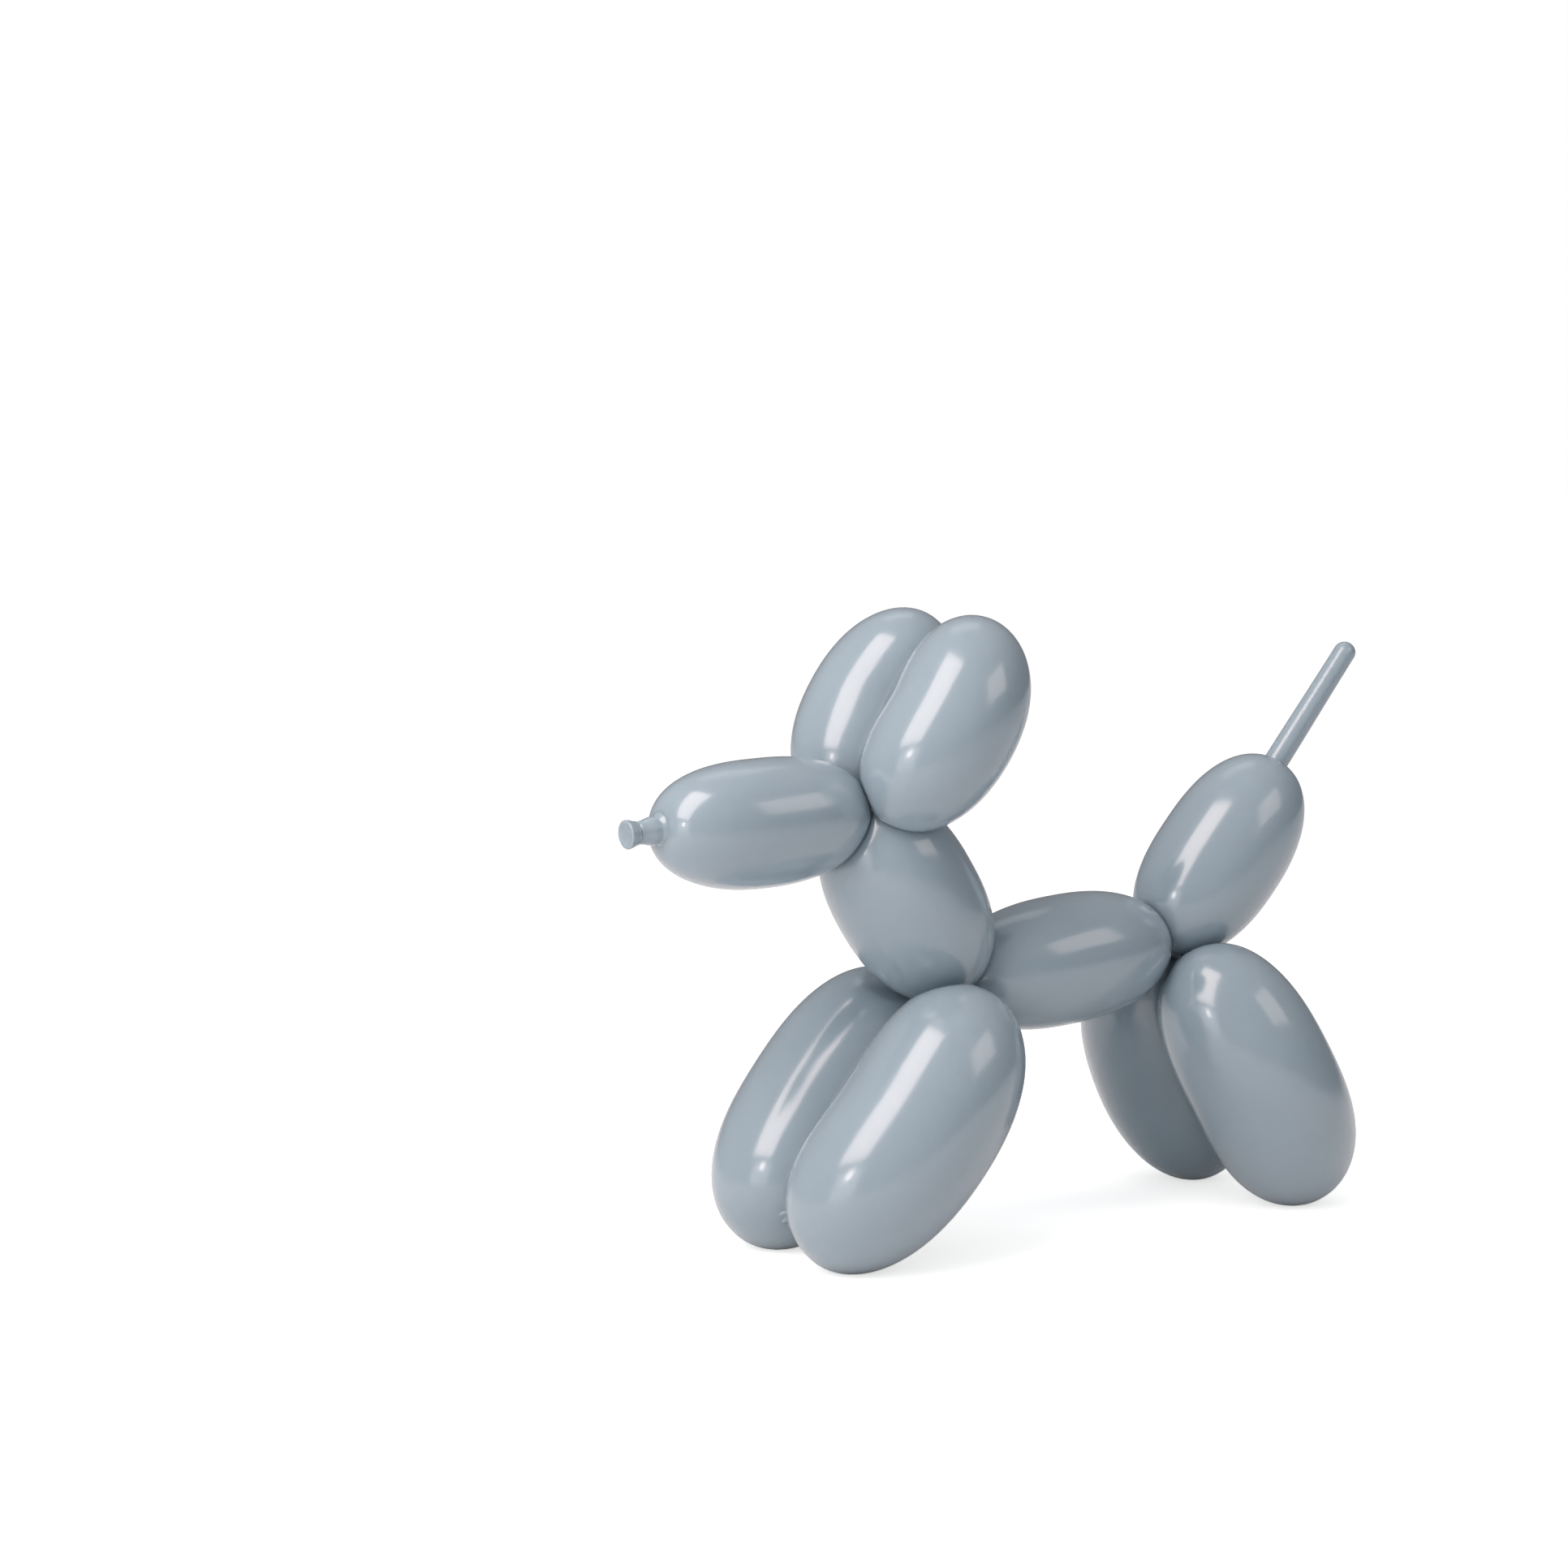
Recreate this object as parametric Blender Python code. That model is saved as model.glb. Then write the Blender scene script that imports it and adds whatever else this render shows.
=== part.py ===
"""A balloon dog, twisted from one long balloon and standing on its four feet.

Metres and degrees. +Z is up, the dog faces -Y and its left side is +X.
The skin is one closed body: ten bubbles that meet at pinched twists, the
balloon's mouth at the nose and its uninflated end as a thin tail tip.
"""

import math

import bmesh
import bpy
from mathutils import Vector

# Bubbles on the dog's middle plane: twist to twist, and across the fattest ring
NECK_LENGTH = 0.0706
NECK_WIDTH = 0.0468
NECK_LEAN = 33.3
NECK_BOW = 0.0014

MUZZLE_LENGTH = 0.0735
MUZZLE_WIDTH = 0.0402
MUZZLE_DROOP = 1.4
MUZZLE_SAG = 0.0021

BODY_LENGTH = 0.0819
BODY_WIDTH = 0.0425

TAIL_LENGTH = 0.0745
TAIL_WIDTH = 0.0434
TAIL_LEAN = 42.4
TAIL_BOW = 0.0022

# Paired bubbles: pole to pole, and across the fattest ring
EAR_LENGTH = 0.0658
EAR_WIDTH = 0.0422
EAR_LEAN = 35.3
EAR_BOW = 0.0007
EAR_TURN = 3.3
EAR_TILT = 2.2

FRONT_LEG_LENGTH = 0.0967
FRONT_LEG_WIDTH = 0.0518
FRONT_LEG_REACH = 40.8
FRONT_LEG_BOW = 0.003

REAR_LEG_LENGTH = 0.0905
REAR_LEG_WIDTH = 0.0499
REAR_LEG_REACH = 27.7
REAR_LEG_BOW = 0.0037

# How far the poles of a pair stand off the middle plane, at the twist and at the free end
EAR_ROOT_SPREAD = 0.006
EAR_END_SPREAD = 0.0065
FRONT_LEG_ROOT_SPREAD = 0.0145
FRONT_LEG_END_SPREAD = 0.0121
REAR_LEG_ROOT_SPREAD = 0.0085
REAR_LEG_END_SPREAD = 0.0185

# How far the upper poles of the legs and the roots of the ears sit behind their twist and below it
EAR_ROOT_BEHIND = 0.0011
EAR_ROOT_DROP = 0.0004
FRONT_LEG_ROOT_BEHIND = -0.0067
FRONT_LEG_ROOT_DROP = 0.0019
REAR_LEG_ROOT_BEHIND = 0.0056
REAR_LEG_ROOT_DROP = 0.004

# How full the bubbles are: a higher shoulder keeps the width further towards the ends
SINGLE_SHOULDER = 2.4
PAIRED_SHOULDER = 3.1
END_ROUNDING = 2.2

# How far each bubble of a pair presses past the middle plane; the rear legs stand a little apart
EAR_PRESS = 0.0002
FRONT_LEG_PRESS = 0.0006
REAR_LEG_PRESS = -0.0009

# How far bubbles run past a twist, and how far the feet flatten on the ground
TWIST_LAP = 0.0015
GROUND_PRESS = 0.0006

# The pinched twist that ties a pair together near its free end; its place runs from -1 to 1
EAR_TIE_PLACE = 0.66
FRONT_LEG_TIE_PLACE = 0.74
REAR_LEG_TIE_PLACE = 0.62
TIE_WAIST_RADIUS = 0.0026
TIE_MOUTH_RADIUS = 0.0064
TIE_MOUTH_REACH = 0.0046

# The balloon's mouth, forward of the muzzle's pole and a little under it
NOZZLE_LENGTH = 0.0103
NOZZLE_DROOP = 3.0
NOZZLE_DROP = 0.0008
NOZZLE_BASE_RADIUS = 0.0045
NOZZLE_STEM_RADIUS = 0.0034
NOZZLE_RIM_RADIUS = 0.0045
NOZZLE_RIM_LENGTH = 0.0012
NOZZLE_RIM_ROUNDING = 0.0004
NOZZLE_FLARE_LENGTH = 0.001
NOZZLE_SLEEVE_LENGTH = 0.0016
NOZZLE_STEP = 0.0003
NOZZLE_MOUTH_RADIUS = 0.0033
NOZZLE_MOUTH_DEPTH = 0.0012

# The uninflated end, past the tail's pole
TIP_LENGTH = 0.0507
TIP_LEAN = 40.6
TIP_BASE_RADIUS = 0.0041
TIP_END_RADIUS = 0.00375

# How finely the rings are divided
BUBBLE_SIDES = 24
BUBBLE_BANDS = 14
SMALL_SIDES = 16
ROUND_END_BANDS = 4
DISH_BANDS = 3
CREASE_ANGLE = 40.0

LATEX_COLOUR = (0.3, 0.38, 0.43, 1.0)
LATEX_ROUGHNESS = 0.22


def clear_scene():
    """Remove every object that the new file starts with."""
    for item in list(bpy.data.objects):
        bpy.data.objects.remove(item, do_unlink=True)


def heading(angle):
    """Direction on the middle plane: 0 is ahead, 90 is up and 180 is behind."""
    turn = math.radians(angle)
    return Vector((0.0, -math.cos(turn), math.sin(turn)))


def turned_about_upright(vector, angle):
    """A vector swung about the vertical."""
    turn = math.radians(angle)
    x = vector.x * math.cos(turn) - vector.y * math.sin(turn)
    y = vector.x * math.sin(turn) + vector.y * math.cos(turn)
    return Vector((x, y, vector.z))


def ring(centre, tangent, radius, sides):
    """Points of a circle round a centre, square to the tangent."""
    across = Vector((1.0, 0.0, 0.0))
    if abs(tangent.x) > abs(tangent.y) + abs(tangent.z):
        across = Vector((0.0, 1.0, 0.0))
    across = (across - tangent * tangent.dot(across)).normalized()
    upward = tangent.cross(across)
    points = []
    for step in range(sides):
        turn = 2.0 * math.pi * step / sides
        spoke = across * math.cos(turn) + upward * math.sin(turn)
        points.append(centre + spoke * radius)
    return points


def bubble_middle(bubble, share):
    """A point on a bubble's middle line: -1 and 1 are its poles."""
    along = bubble["end"] - bubble["start"]
    return bubble["start"] + along * (share + 1.0) / 2.0 + bubble["bow"] * (1.0 - share * share)


def bubble_rings(bubble):
    """A bubble's rings from pole to pole, closer together near the poles."""
    along = bubble["end"] - bubble["start"]
    rings = []
    for band in range(1, BUBBLE_BANDS):
        share = -math.cos(math.pi * band / BUBBLE_BANDS)
        tangent = (along / 2.0 - bubble["bow"] * 2.0 * share).normalized()
        swell = (1.0 - abs(share) ** bubble["shoulder"]) ** (1.0 / END_ROUNDING)
        radius = bubble["width"] / 2.0 * swell
        rings.append(ring(bubble_middle(bubble, share), tangent, radius, BUBBLE_SIDES))
    return rings


def lowest(bubble):
    """Height of a bubble's lowest point."""
    return min(point.z for points in bubble_rings(bubble) for point in points)


def single(name, start, end, width, bow=0.0):
    """A bubble on the middle plane, from twist to twist, bowed forward or down."""
    along = (end - start).normalized()
    side = Vector((0.0, -along.z, along.y))
    return {
        "name": name,
        "start": start - along * TWIST_LAP,
        "end": end + along * TWIST_LAP,
        "width": width,
        "bow": side * bow,
        "shoulder": SINGLE_SHOULDER,
    }


def pair(name, root, angle, length, width, spreads, press, bow, twist, turn=0.0, tilt=0.0):
    """Two bubbles side by side, from their twist to their free ends, left one first.

    The root is the place of their upper poles from the twist, on the middle plane.
    A tilt sets the left one lower than the right one.
    """
    along = heading(angle)
    side = Vector((0.0, -along.z, along.y))
    leftward = Vector((math.cos(math.radians(tilt)), 0.0, -math.sin(math.radians(tilt))))
    root_spread, end_spread = spreads
    stand_off = width / 2.0 - press - (root_spread + end_spread) / 2.0
    bubbles = []
    for prefix, sign in (("left", 1.0), ("right", -1.0)):
        outward = leftward * sign
        start = turned_about_upright(root + outward * root_spread, turn)
        end = turned_about_upright(root + along * length + outward * end_spread, turn)
        curve = turned_about_upright(side * bow + outward * stand_off, turn)
        bubbles.append({
            "name": prefix + "_" + name,
            "start": twist + start,
            "end": twist + end,
            "width": width,
            "bow": curve,
            "shoulder": PAIRED_SHOULDER,
        })
    return bubbles


def front_legs(chest):
    """The two front leg bubbles, hanging from the chest twist and reaching forward."""
    root = Vector((0.0, FRONT_LEG_ROOT_BEHIND, -FRONT_LEG_ROOT_DROP))
    spreads = (FRONT_LEG_ROOT_SPREAD, FRONT_LEG_END_SPREAD)
    return pair("front_leg", root, FRONT_LEG_REACH - 90.0, FRONT_LEG_LENGTH, FRONT_LEG_WIDTH,
                spreads, FRONT_LEG_PRESS, FRONT_LEG_BOW, chest)


def rear_legs(hip):
    """The two rear leg bubbles, hanging from the hip twist and reaching back."""
    root = Vector((0.0, REAR_LEG_ROOT_BEHIND, -REAR_LEG_ROOT_DROP))
    spreads = (REAR_LEG_ROOT_SPREAD, REAR_LEG_END_SPREAD)
    return pair("rear_leg", root, -90.0 - REAR_LEG_REACH, REAR_LEG_LENGTH, REAR_LEG_WIDTH,
                spreads, REAR_LEG_PRESS, -REAR_LEG_BOW, hip)


def ears(head):
    """The two ear bubbles, standing up from the head twist and leaning back."""
    root = Vector((0.0, EAR_ROOT_BEHIND, -EAR_ROOT_DROP))
    spreads = (EAR_ROOT_SPREAD, EAR_END_SPREAD)
    return pair("ear", root, 90.0 + EAR_LEAN, EAR_LENGTH, EAR_WIDTH,
                spreads, EAR_PRESS, -EAR_BOW, head, EAR_TURN, EAR_TILT)


def mesh_from_rings(name, rings, first_pole, last_pole):
    """A closed mesh from rings of equal size, drawn together at a pole at each end."""
    build = bmesh.new()
    loops = [[build.verts.new(point) for point in points] for points in rings]
    sides = len(rings[0])
    first = build.verts.new(first_pole)
    last = build.verts.new(last_pole)
    for step in range(sides):
        after = (step + 1) % sides
        build.faces.new((first, loops[0][after], loops[0][step]))
        build.faces.new((last, loops[-1][step], loops[-1][after]))
        for lower, upper in zip(loops, loops[1:]):
            build.faces.new((lower[step], lower[after], upper[after], upper[step]))
    bmesh.ops.recalc_face_normals(build, faces=build.faces)
    mesh = bpy.data.meshes.new(name)
    build.to_mesh(mesh)
    build.free()
    return mesh


def add_object(name, mesh):
    """An object in the scene that carries the mesh."""
    item = bpy.data.objects.new(name, mesh)
    bpy.context.scene.collection.objects.link(item)
    return item


def add_bubble(bubble):
    """The object for one bubble."""
    mesh = mesh_from_rings(bubble["name"], bubble_rings(bubble), bubble["start"], bubble["end"])
    return add_object(bubble["name"], mesh)


def add_turned(name, base, direction, outline):
    """A round piece along a direction; the outline gives distance and radius from the base."""
    rings = [ring(base + direction * distance, direction, radius, SMALL_SIDES)
             for distance, radius in outline]
    first = base + direction * outline[0][0]
    last = base + direction * outline[-1][0]
    return add_object(name, mesh_from_rings(name, rings, first, last))


def add_tie(name, left, right, place):
    """The pinched twist between the two bubbles of a pair."""
    start = bubble_middle(left, place)
    end = bubble_middle(right, place)
    span = (end - start).length
    waist = span / 2.0
    outline = [
        (0.0, TIE_MOUTH_RADIUS),
        (waist - TIE_MOUTH_REACH, TIE_MOUTH_RADIUS),
        (waist - TIE_MOUTH_REACH / 2.0, (TIE_MOUTH_RADIUS + TIE_WAIST_RADIUS * 2.0) / 3.0),
        (waist, TIE_WAIST_RADIUS),
        (waist + TIE_MOUTH_REACH / 2.0, (TIE_MOUTH_RADIUS + TIE_WAIST_RADIUS * 2.0) / 3.0),
        (waist + TIE_MOUTH_REACH, TIE_MOUTH_RADIUS),
        (span, TIE_MOUTH_RADIUS),
    ]
    return add_turned(name, start, (end - start).normalized(), outline)


def add_nozzle(muzzle):
    """The balloon's mouth: stem, small step, sleeve, flared rim and shallow dished opening."""
    along = heading(-NOZZLE_DROOP)
    base = muzzle["end"] - Vector((0.0, 0.0, NOZZLE_DROP))
    rim_end = NOZZLE_LENGTH
    rim_start = rim_end - NOZZLE_RIM_LENGTH
    flare_start = rim_start - NOZZLE_FLARE_LENGTH
    sleeve_start = flare_start - NOZZLE_SLEEVE_LENGTH
    outline = [
        (-TWIST_LAP, NOZZLE_BASE_RADIUS),
        (0.0, NOZZLE_BASE_RADIUS),
        (sleeve_start / 2.0, (NOZZLE_BASE_RADIUS + NOZZLE_STEM_RADIUS) / 2.0),
        (sleeve_start - NOZZLE_STEP, NOZZLE_STEM_RADIUS),
        (sleeve_start, NOZZLE_STEM_RADIUS - NOZZLE_STEP),
        (sleeve_start + NOZZLE_STEP, NOZZLE_STEM_RADIUS),
        (flare_start, NOZZLE_STEM_RADIUS),
        (rim_start, NOZZLE_RIM_RADIUS - NOZZLE_RIM_ROUNDING),
        (rim_start + NOZZLE_RIM_ROUNDING, NOZZLE_RIM_RADIUS),
        (rim_end - NOZZLE_RIM_ROUNDING, NOZZLE_RIM_RADIUS),
        (rim_end, NOZZLE_RIM_RADIUS - NOZZLE_RIM_ROUNDING),
    ]
    for band in range(DISH_BANDS):
        turn = math.pi / 2.0 * band / DISH_BANDS
        depth = NOZZLE_MOUTH_DEPTH * math.sin(turn)
        outline.append((rim_end - depth, NOZZLE_MOUTH_RADIUS * math.cos(turn)))
    return add_turned("nozzle", base, along, outline)


def add_tail_tip(tail):
    """The thin uninflated end with its round tip."""
    straight = TIP_LENGTH - TIP_END_RADIUS
    outline = [(-TWIST_LAP * 2.0, TIP_BASE_RADIUS), (straight, TIP_END_RADIUS)]
    for band in range(1, ROUND_END_BANDS):
        turn = math.pi / 2.0 * band / ROUND_END_BANDS
        outline.append((straight + TIP_END_RADIUS * math.sin(turn), TIP_END_RADIUS * math.cos(turn)))
    return add_turned("tail_tip", tail["end"], heading(90.0 + TIP_LEAN), outline)


def add_ground(reach):
    """A block whose top is the ground, to press the feet flat."""
    corners = [(x, y, z) for x in (-reach, reach) for y in (-reach, reach) for z in (-reach, 0.0)]
    mesh = bpy.data.meshes.new("ground")
    build = bmesh.new()
    bmesh.ops.convex_hull(build, input=[build.verts.new(corner) for corner in corners])
    build.to_mesh(mesh)
    build.free()
    return add_object("ground", mesh)


def combine(target, others, operation):
    """Unite the others with the target, or cut them out of it."""
    for other in others:
        step = target.modifiers.new(other.name, "BOOLEAN")
        step.operation = operation
        step.solver = "EXACT"
        step.object = other
        other.hide_render = True
        other.display_type = "WIRE"


def latex():
    """The balloon's skin."""
    material = bpy.data.materials.new("latex")
    material.use_nodes = True
    shader = material.node_tree.nodes["Principled BSDF"]
    shader.inputs["Base Color"].default_value = LATEX_COLOUR
    shader.inputs["Roughness"].default_value = LATEX_ROUGHNESS
    shader.inputs["Metallic"].default_value = 0.0
    material.diffuse_color = LATEX_COLOUR
    return material


def finished(source):
    """One smooth mesh from the source and its modifiers, with sharp creases between bubbles."""
    depsgraph = bpy.context.evaluated_depsgraph_get()
    mesh = bpy.data.meshes.new_from_object(source.evaluated_get(depsgraph))
    mesh.name = "twisted_balloon"
    mesh.materials.clear()
    mesh.materials.append(latex())
    mesh.shade_smooth()
    mesh.set_sharp_from_angle(angle=math.radians(CREASE_ANGLE))
    return mesh


def main():
    """Lay the bubbles out from the chest twist, unite them and stand the dog on the ground."""
    clear_scene()
    ground_origin = Vector((0.0, 0.0, 0.0))
    chest_height = -lowest(front_legs(ground_origin)[0]) - GROUND_PRESS
    hip_height = -lowest(rear_legs(ground_origin)[0]) - GROUND_PRESS
    body_run = math.sqrt(BODY_LENGTH ** 2 - (hip_height - chest_height) ** 2)

    chest = Vector((0.0, 0.0, chest_height))
    hip = Vector((0.0, body_run, hip_height))
    head = chest + heading(90.0 - NECK_LEAN) * NECK_LENGTH
    nose = head + heading(-MUZZLE_DROOP) * MUZZLE_LENGTH
    rump = hip + heading(90.0 + TAIL_LEAN) * TAIL_LENGTH

    neck = single("neck", chest, head, NECK_WIDTH, NECK_BOW)
    muzzle = single("muzzle", head, nose, MUZZLE_WIDTH, MUZZLE_SAG)
    body = single("body", chest, hip, BODY_WIDTH)
    tail = single("tail", hip, rump, TAIL_WIDTH, -TAIL_BOW)
    pairs = (
        ("ear_tie", ears(head), EAR_TIE_PLACE),
        ("front_leg_tie", front_legs(chest), FRONT_LEG_TIE_PLACE),
        ("rear_leg_tie", rear_legs(hip), REAR_LEG_TIE_PLACE),
    )

    base = add_bubble(body)
    others = [add_bubble(bubble) for bubble in (neck, muzzle, tail)]
    for name, (left, right), place in pairs:
        others += [add_bubble(left), add_bubble(right), add_tie(name, left, right, place)]
    others += [add_nozzle(muzzle), add_tail_tip(tail)]
    combine(base, others, "UNION")
    ground = add_ground(FRONT_LEG_LENGTH + BODY_LENGTH + REAR_LEG_LENGTH + TAIL_LENGTH)
    combine(base, [ground], "DIFFERENCE")

    mesh = finished(base)
    for item in [base, ground] + others:
        bpy.data.objects.remove(item, do_unlink=True)
    reaches = [vertex.co.y for vertex in mesh.vertices]
    balloon = add_object("twisted_balloon", mesh)
    balloon.location.y = -(min(reaches) + max(reaches)) / 2.0


main()
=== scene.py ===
import math

import bmesh
import bpy
import numpy as np
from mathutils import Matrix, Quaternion, Vector


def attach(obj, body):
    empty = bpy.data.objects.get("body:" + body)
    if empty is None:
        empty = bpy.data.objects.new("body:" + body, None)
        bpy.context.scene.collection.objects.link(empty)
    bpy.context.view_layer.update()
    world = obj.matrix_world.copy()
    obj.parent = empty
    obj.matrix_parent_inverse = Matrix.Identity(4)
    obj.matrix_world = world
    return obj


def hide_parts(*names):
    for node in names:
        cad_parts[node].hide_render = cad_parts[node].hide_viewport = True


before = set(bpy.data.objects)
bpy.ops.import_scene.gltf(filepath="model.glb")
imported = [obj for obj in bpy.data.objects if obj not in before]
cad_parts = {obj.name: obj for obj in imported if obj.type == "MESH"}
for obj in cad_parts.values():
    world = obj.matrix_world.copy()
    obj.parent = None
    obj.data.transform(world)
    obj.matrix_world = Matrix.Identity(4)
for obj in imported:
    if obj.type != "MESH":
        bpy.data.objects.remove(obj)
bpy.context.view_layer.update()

# A balloon dog in its finished latex skin. Metres and degrees, +Z up, facing -Y, left side +X.

# Bubbles on the dog's middle plane: twist to twist, and across the fattest ring
NECK_LENGTH = 0.0706
NECK_WIDTH = 0.0468
NECK_LEAN = 33.3
NECK_BOW = 0.0014

MUZZLE_LENGTH = 0.0735
MUZZLE_WIDTH = 0.0402
MUZZLE_DROOP = 1.4
MUZZLE_SAG = 0.0021

BODY_LENGTH = 0.0819
BODY_WIDTH = 0.0425

TAIL_LENGTH = 0.0745
TAIL_WIDTH = 0.0434
TAIL_LEAN = 42.4
TAIL_BOW = 0.0022

# Paired bubbles: pole to pole, and across the fattest ring
EAR_LENGTH = 0.0658
EAR_WIDTH = 0.0422
EAR_LEAN = 35.3
EAR_BOW = 0.0007
EAR_TURN = 3.3
EAR_TILT = 2.2

FRONT_LEG_LENGTH = 0.0967
FRONT_LEG_WIDTH = 0.0518
FRONT_LEG_REACH = 40.8
FRONT_LEG_BOW = 0.003

REAR_LEG_LENGTH = 0.0905
REAR_LEG_WIDTH = 0.0499
REAR_LEG_REACH = 27.7
REAR_LEG_BOW = 0.0037

# How far the poles of a pair stand off the middle plane, at the twist and at the free end
EAR_ROOT_SPREAD = 0.006
EAR_END_SPREAD = 0.0065
FRONT_LEG_ROOT_SPREAD = 0.0145
FRONT_LEG_END_SPREAD = 0.0121
REAR_LEG_ROOT_SPREAD = 0.0085
REAR_LEG_END_SPREAD = 0.0185

# How far the upper poles of the legs and the roots of the ears sit behind their twist and below it
EAR_ROOT_BEHIND = 0.0011
EAR_ROOT_DROP = 0.0004
FRONT_LEG_ROOT_BEHIND = -0.0067
FRONT_LEG_ROOT_DROP = 0.0019
REAR_LEG_ROOT_BEHIND = 0.0056
REAR_LEG_ROOT_DROP = 0.004

# How full the bubbles are, and how far those of a pair press past the middle plane
SINGLE_SHOULDER = 2.4
PAIRED_SHOULDER = 3.1
END_ROUNDING = 2.2
EAR_PRESS = 0.0002
FRONT_LEG_PRESS = 0.0006
REAR_LEG_PRESS = -0.0009

# How far bubbles run past a twist, and how far the feet flatten on the ground
TWIST_LAP = 0.0015
GROUND_PRESS = 0.0006

# The bubbles that meet at each twist
TWIST_GROUPS = {
    "head": ("muzzle", "neck", "left_ear", "right_ear"),
    "chest": ("neck", "body", "left_front_leg", "right_front_leg"),
    "hip": ("body", "tail", "left_rear_leg", "right_rear_leg"),
}

# How the skins give way where bubbles press on each other, and where the feet press on the ground
SKIN_GAP = 0.00015
CREASE_ROUNDING = 0.0014
FOOT_ROUNDING = 0.001
HEART_SHARE = 0.45
PRESS_STEPS = 16
PRESS_TOLERANCE = SKIN_GAP / 50.0

# The pinched twist that ties a pair together near its free end; its place runs from -1 to 1
EAR_TIE_PLACE = 0.66
FRONT_LEG_TIE_PLACE = 0.74
REAR_LEG_TIE_PLACE = 0.62
PAIR_TIES = (
    ("ear", EAR_TIE_PLACE),
    ("front_leg", FRONT_LEG_TIE_PLACE),
    ("rear_leg", REAR_LEG_TIE_PLACE),
)
TIE_WAIST_RADIUS = 0.0026
TIE_MOUTH_RADIUS = 0.0064
TIE_MOUTH_REACH = 0.0046
TIE_RIPPLE = 0.07
TIE_STEPS = 10

# Pleats that run out from a twist, the mark they are counted from, and how far out skin is gathered
PLEATS = 13
PLEAT_DEPTH = 0.0002
PLEAT_REACH = 0.003
PLEAT_WANDER = 1.3
PLEAT_WANDER_WAVES = 3.0
PLEAT_MARK = (0.0, 0.6, 0.8)
GATHER_REACH = 0.009

# The balloon's mouth, forward of the muzzle's pole and a little under it
NOZZLE_LENGTH = 0.0103
NOZZLE_DROOP = 3.0
NOZZLE_DROP = 0.0008
NOZZLE_BASE_RADIUS = 0.0045
NOZZLE_STEM_RADIUS = 0.0035
NOZZLE_RIM_RADIUS = 0.0045
NOZZLE_ROLL_RADIUS = 0.00055
NOZZLE_SLEEVE_LENGTH = 0.0034
NOZZLE_GROOVE_DEPTH = 0.0006
NOZZLE_STEP = 0.00025
NOZZLE_BOWL_DEPTH = 0.0014
NOZZLE_FILLET = 0.0011
NOZZLE_STEM_START = 1.5 * NOZZLE_FILLET
NOZZLE_RIPPLE = 0.003
NOZZLE_RIPPLES = 9

# The roll of the mouth's rim: angle 0 points out from its axis and 90 points forward
ROLL_FIRST_ANGLE = -30.0
ROLL_LAST_ANGLE = 120.0

# How finely each stretch of the mouth is divided
FILLET_STEPS = 6
STEM_STEPS = 10
GROOVE_STEPS = 3
SLEEVE_STEPS = 9
ROLL_STEPS = 14
BOWL_STEPS = 14

# The dimple that the mouth draws into the muzzle, and how many reaches out its pull ends
DIMPLE_DEPTH = 0.0011
DIMPLE_REACH = 0.0075
DIMPLE_CUT = 3.0

# The uninflated end, past the tail's pole
TIP_LENGTH = 0.0507
TIP_LEAN = 40.6
TIP_BASE_RADIUS = 0.0041
TIP_END_RADIUS = 0.00375
TIP_FIRST_ANGLE = 8.0
TIP_LAST_ANGLE = 84.0
TIP_STEPS = 40
TIP_ROUND_STEPS = 10
TIP_RIPPLE = 0.008
TIP_RIPPLES = 5

# How finely the skin is divided, and the bands beside the creases where it is halved again
BUBBLE_SIDES = 72
BUBBLE_BANDS = 56
CREASE_BANDS = (0.0009, 0.0003)
TURNED_SIDES = 72
RIPPLE_WANDER = 2.0
NEARLY_ALONG = 0.1

# The balls that measure how deep a point lies in a bubble, and the share over which a slope is taken
BALLS_PER_BUBBLE = 150
SLOPE_NUDGE = 0.0001

# Camera: bearing round from the dog's front towards its left, height, roll, distance and lens
CAMERA_BEARING = 53.68
CAMERA_HEIGHT = 8.93
CAMERA_ROLL = -0.46
CAMERA_DISTANCE = 1.2
CAMERA_LENS = 85.91
SENSOR_WIDTH = 36.0
PICTURE_WIDTH = 1932
CHEST_PIXEL = (1181.2, 1208.9)

# Latex colours, linear
BLOWN_TONE = (0.318, 0.401, 0.457, 1.0)
DEEP_TONE = (0.24, 0.31, 0.365, 1.0)
POWDER_TONE = (0.42, 0.47, 0.51, 1.0)

# Patterns in the latex: waves to the metre, detail and roughness
BROAD_CLOUDS = (22.0, 3.0, 0.5)
FINE_CLOUDS = (130.0, 4.0, 0.6)
POWDER_SPECKS = (1500.0, 3.0, 0.7)
POWDER_PATCHES = (60.0, 3.0, 0.6)
SKIN_GRAIN = (2600.0, 2.0, 0.5)

# Which stretch of each pattern shows, and how the patterns are mixed
FINE_CLOUD_SHARE = 0.35
CLOUD_RANGE = (0.45, 0.9)
SPECK_RANGE = (0.56, 0.75)
PATCH_RANGE = (0.4, 0.7)
PATCH_STRENGTH = (0.2, 1.0)
POWDER_DULLING = 0.25
THICK_DULLING = 0.1
GRAIN_HEIGHT = 0.00002

# The two finishes: the blown skin, and the slack skin of the mouth, the ties and the tail's tip
BLOWN_FINISH = {
    "clouding": 0.3,
    "gathering": 0.35,
    "powder": 0.3,
    "roughness": 0.19,
    "grain": 0.15,
    "glow_depth": 0.012,
}
SLACK_FINISH = {
    "clouding": 0.15,
    "gathering": 0.3,
    "powder": 0.08,
    "roughness": 0.26,
    "grain": 0.03,
    "glow_depth": 0.0012,
}

# What both finishes share
LATEX_GLOSS = {
    "IOR": 1.52,
    "Coat Weight": 1.0,
    "Coat Roughness": 0.14,
    "Coat IOR": 1.5,
    "Subsurface Weight": 0.4,
    "Subsurface Radius": (0.8, 0.9, 1.0),
}

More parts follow.
